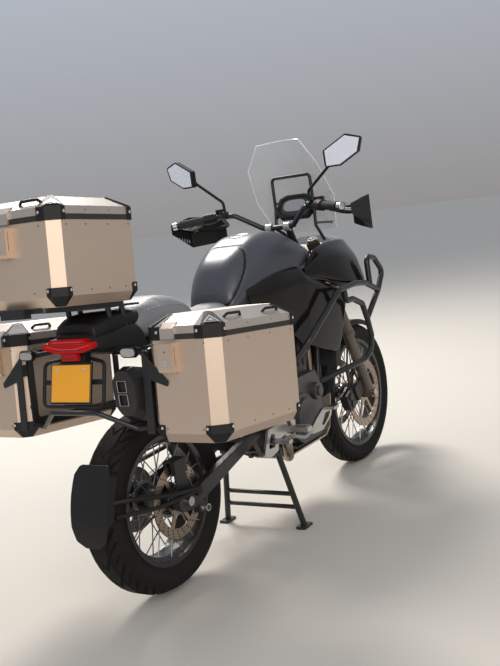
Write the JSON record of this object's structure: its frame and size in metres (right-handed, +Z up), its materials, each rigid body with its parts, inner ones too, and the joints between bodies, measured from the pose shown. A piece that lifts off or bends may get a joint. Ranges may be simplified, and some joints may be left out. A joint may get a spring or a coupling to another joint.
{
  "type": "adventure motorcycle",
  "caption": "Adventure motorcycle on its centre stand, with aluminium top case and side cases, screen, crash bars and wire wheels.",
  "frame": {"origin": "on the ground under the middle of the overall length, on the centre plane", "axes": "+X forward, +Y to the rider's left, +Z up"},
  "size_m": [2.364, 1.064, 1.528],
  "materials": {
    "frame_black": "satin black powder coat",
    "engine_metal": "dark grey cast alloy",
    "radiator_black": "matt black",
    "exhaust_steel": "heat-tinted steel",
    "silencer_black": "satin black",
    "steel": "machined steel",
    "chain_steel": "oiled steel",
    "tank_grey": "matt grey",
    "seat_vinyl": "grained vinyl",
    "panel_black": "gloss black",
    "plastic_black": "moulded black",
    "screen_clear": "clear moulded screen",
    "lamp_clear": "clear lens",
    "lamp_red": "red lens",
    "plate_yellow": "orange-yellow enamel",
    "case_aluminium": "blasted aluminium",
    "fork_bronze": "anodised",
    "disc_steel": "ground steel",
    "tyre_rubber": "block tread",
    "rim_black": "gloss black",
    "mirror_glass": "black shell with glass"
  },
  "bodies": {
    "chassis": {"main_frame": "frame_black", "engine_cradle": "frame_black", "side_covers": "panel_black", "subframe": "frame_black", "engine": "engine_metal", "radiator": "radiator_black", "exhaust_pipes": "exhaust_steel", "silencer": "silencer_black", "swingarm": "frame_black", "pivot_pin": "steel", "rear_axle": "steel", "rear_shock": "steel", "drive_chain": "chain_steel", "chain_guard": "plastic_black", "rear_caliper": "silencer_black", "hugger": "plastic_black", "fuel_tank": "tank_grey", "seat": "seat_vinyl", "fairing": "panel_black", "headlamp": "lamp_clear", "windscreen": "screen_clear", "instrument_frame": "frame_black", "dash": "plastic_black", "crash_bars": "frame_black", "engine_guard": "case_aluminium", "tail_cowl": "plastic_black", "tail_lamp": "lamp_red", "plate_holder": "plastic_black", "number_plate": "plate_yellow", "rear_indicators": "plastic_black", "luggage_rack": "frame_black", "pannier_racks": "frame_black", "foot_controls": "steel", "topcase_body": "case_aluminium", "pannier_right_body": "case_aluminium", "pannier_left_body": "case_aluminium", "case_guards": "plastic_black"},
    "steering": {"fork": "fork_bronze", "front_axle": "steel", "handlebar": "frame_black", "hand_controls": "plastic_black", "handguards": "plastic_black", "mirrors": "mirror_glass", "front_mudguard": "plastic_black", "front_calipers": "silencer_black"},
    "front_wheel": {"front_tyre": "tyre_rubber", "front_rim": "rim_black", "front_discs": "disc_steel"},
    "rear_wheel": {"rear_tyre": "tyre_rubber", "rear_rim": "rim_black", "rear_disc": "disc_steel", "rear_sprocket": "chain_steel"},
    "stand_centre": {"centre_stand": "frame_black"},
    "stand_side": {"side_stand": "frame_black"},
    "lid_top": {"topcase_lid": "case_aluminium", "topcase_lid_caps": "plastic_black"},
    "lid_right": {"pannier_right_lid": "case_aluminium", "pannier_right_lid_caps": "plastic_black"},
    "lid_left": {"pannier_left_lid": "case_aluminium", "pannier_left_lid_caps": "plastic_black"}
  },
  "joints": [
    {"name": "steering_turn", "type": "hinge", "parent": "chassis", "child": "steering", "pos_m": [0.50332, 0, 0.95992], "axis": [-0.4305, 0, 0.9026], "range_deg": [-35, 35]},
    {"name": "front_wheel_spin", "type": "hinge", "parent": "steering", "child": "front_wheel", "pos_m": [0.853, 0, 0.329], "axis": [0, 1, 0], "continuous": true},
    {"name": "rear_wheel_spin", "type": "hinge", "parent": "chassis", "child": "rear_wheel", "pos_m": [-0.672, 0, 0.336], "axis": [0, 1, 0], "continuous": true},
    {"name": "centre_stand_fold", "type": "hinge", "parent": "chassis", "child": "stand_centre", "pos_m": [-0.057, 0, 0.318], "axis": [0, 1, 0], "range_deg": [0, 90]},
    {"name": "side_stand_fold", "type": "hinge", "parent": "chassis", "child": "stand_side", "pos_m": [0.098, 0.185, 0.268], "axis": [0, -0.9659, -0.2588], "range_deg": [0, 100]},
    {"name": "topcase_lid_open", "type": "hinge", "parent": "chassis", "child": "lid_top", "pos_m": [-0.77332, 0, 1.2957], "axis": [0, 1, 0], "range_deg": [0, 95]},
    {"name": "pannier_right_lid_open", "type": "hinge", "parent": "chassis", "child": "lid_right", "pos_m": [-0.43471, -0.396, 0.88636], "axis": [0, 1, 0], "range_deg": [0, 95]},
    {"name": "pannier_left_lid_open", "type": "hinge", "parent": "chassis", "child": "lid_left", "pos_m": [-0.43471, 0.396, 0.88636], "axis": [0, 1, 0], "range_deg": [0, 95]}
  ]
}
